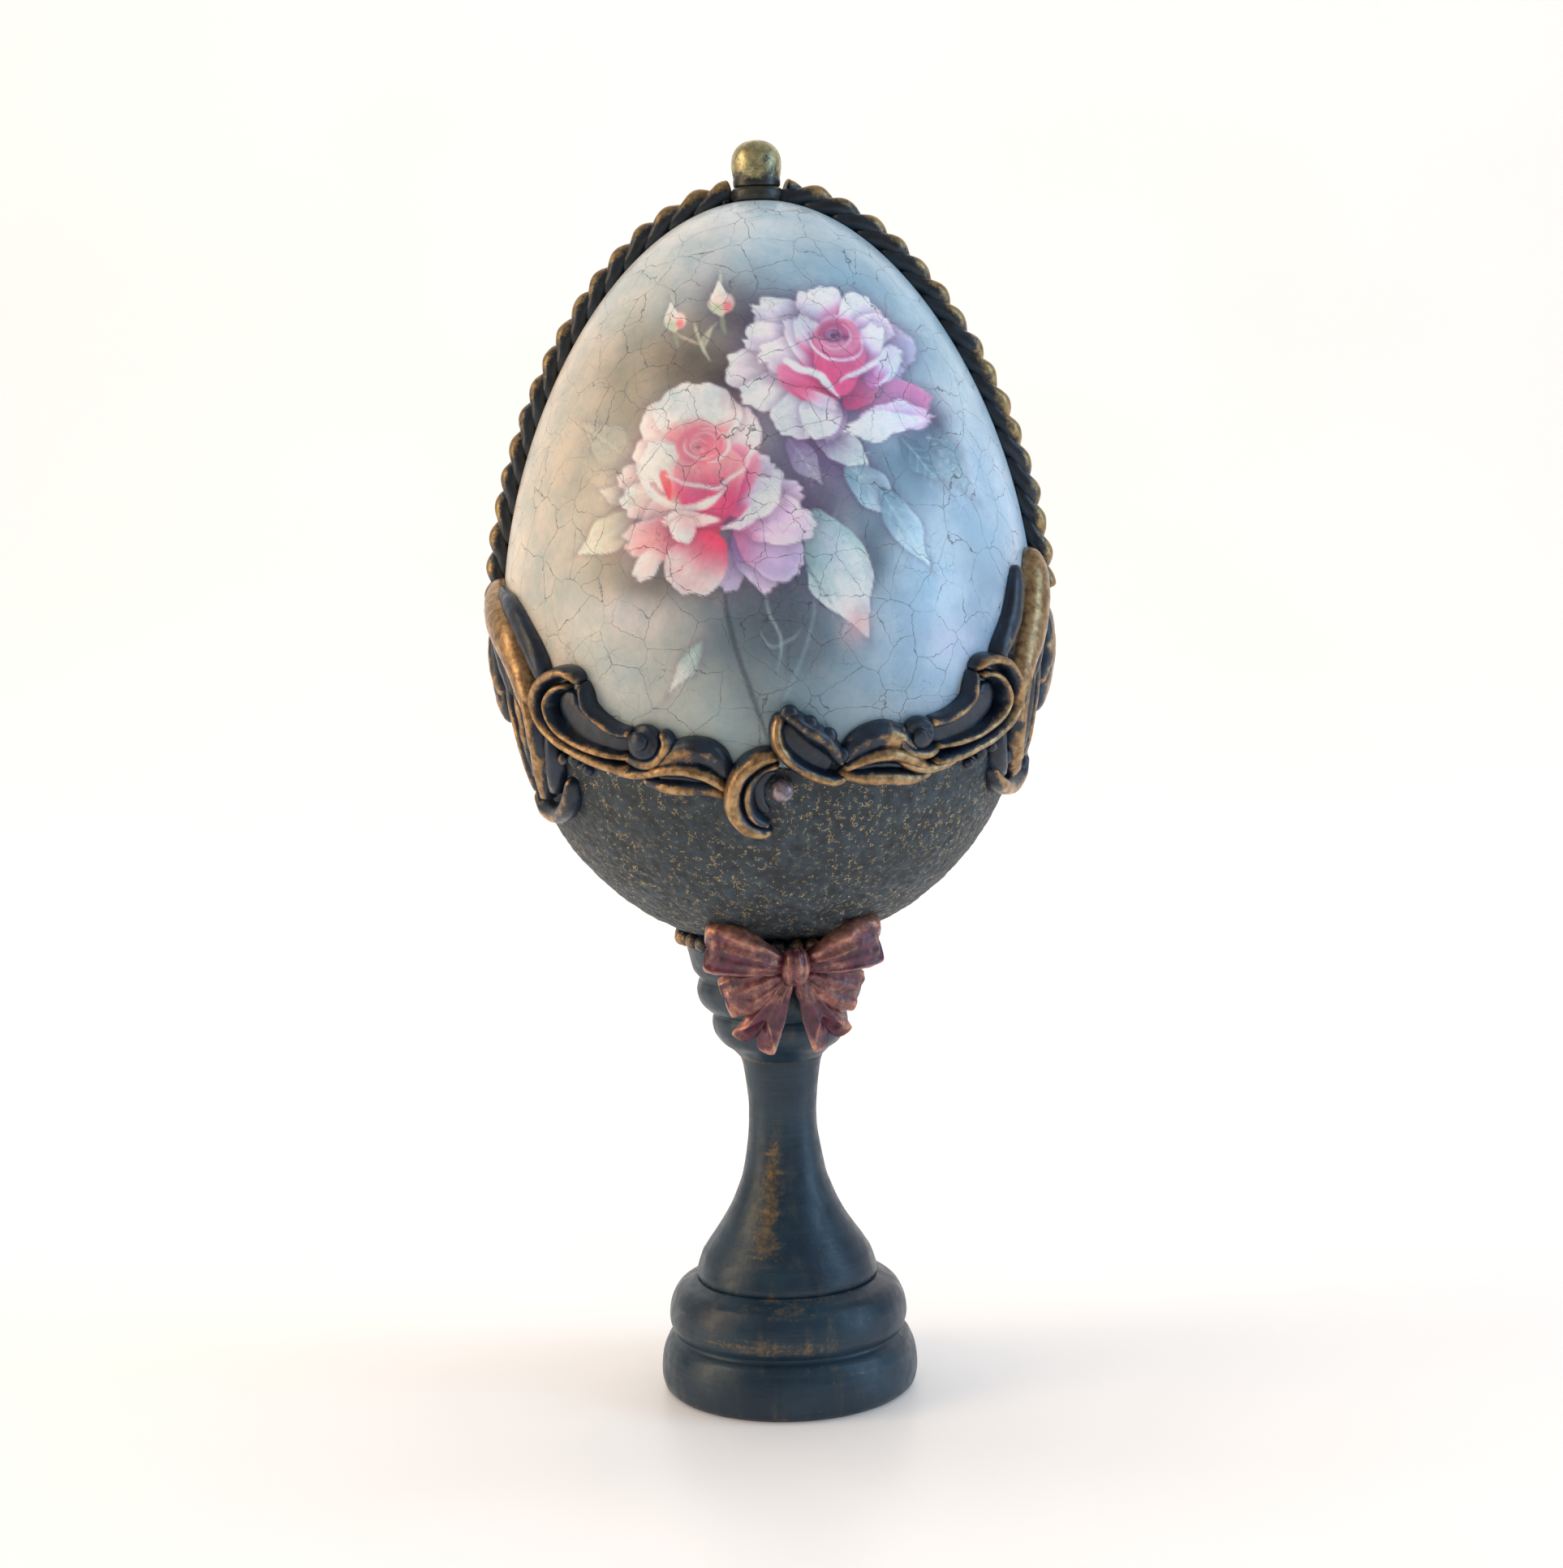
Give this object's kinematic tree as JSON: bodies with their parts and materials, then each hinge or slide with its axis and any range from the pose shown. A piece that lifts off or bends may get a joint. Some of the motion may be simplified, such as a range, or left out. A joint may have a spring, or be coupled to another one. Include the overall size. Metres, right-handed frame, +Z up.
{
  "type": "decorated egg on stand",
  "caption": "Rose-painted crackle-varnished wooden egg with rope and scroll relief trim, sitting on a turned wooden stand with a moulded bow.",
  "frame": {"origin": "centre of the foot's underside, on the surface it stands on", "axes": "+Z up through the finial, decorated front facing -Y, +X to the viewer's right"},
  "size_m": [0.101, 0.0986, 0.2195],
  "materials": {
    "painted_wood": "satin navy paint rubbed with bronze",
    "bare_wood": "bare turned beech",
    "egg_wood": "sealed under the print and the coat",
    "front_print": "painted print under crackled gloss varnish",
    "back_print": "painted print under crackled gloss varnish",
    "coat": "grainy texture paste with gold flecks",
    "gilt_clay": "navy polymer clay with rubbed antique gold",
    "gilt_wood": "antique gold over navy",
    "bow_clay": "plum polymer clay with rubbed copper",
    "pearl": "grey-lilac pearl lustre"
  },
  "bodies": {
    "stand": {"stand_foot": "painted_wood", "stand_column": "painted_wood", "stand_cup": "painted_wood", "cup_rim_trim": "gilt_clay", "bow_knot": "bow_clay", "bow_loop_left": "bow_clay", "bow_loop_right": "bow_clay", "bow_tail_left": "bow_clay", "bow_tail_right": "bow_clay", "bow_lower_loop_left": "bow_clay", "bow_lower_loop_right": "bow_clay"},
    "dowel": {"egg_dowel": "bare_wood"},
    "egg": {"egg_core": "egg_wood", "front_picture": "front_print", "back_picture": "back_print", "texture_coat": "coat", "rope_left": "gilt_clay", "rope_right": "gilt_clay", "finial_collar": "gilt_wood", "finial_ball": "gilt_wood", "finial_pin": "bare_wood", "front_strap_left": "gilt_clay", "front_strap_right": "gilt_clay", "front_scroll_left": "gilt_clay", "front_scroll_right": "gilt_clay", "front_cartouche_left": "gilt_clay", "front_cartouche_right": "gilt_clay", "front_cartouche_beads_left": "gilt_clay", "front_cartouche_beads_right": "gilt_clay", "front_centre_crescent": "gilt_clay", "front_centre_leaf": "gilt_clay", "front_leaf_left": "gilt_clay", "front_leaf_right": "gilt_clay", "front_pearl": "pearl", "back_strap_left": "gilt_clay", "back_strap_right": "gilt_clay", "back_scroll_left": "gilt_clay", "back_scroll_right": "gilt_clay", "back_cartouche_left": "gilt_clay", "back_cartouche_right": "gilt_clay", "back_cartouche_beads_left": "gilt_clay", "back_cartouche_beads_right": "gilt_clay", "back_centre_crescent": "gilt_clay", "back_centre_leaf": "gilt_clay", "back_leaf_left": "gilt_clay", "back_leaf_right": "gilt_clay", "back_pearl": "pearl", "side_leaf_left": "gilt_clay", "side_leaf_right": "gilt_clay"}
  },
  "joints": [
    {"name": "egg_lift", "type": "slide", "parent": "stand", "child": "dowel", "axis": [0, 0, 1], "range_m": [0, 0.035]},
    {"name": "egg_turn", "type": "hinge", "parent": "dowel", "child": "egg", "pos_m": [0, 0, 0], "axis": [0, 0, 1], "continuous": true}
  ]
}
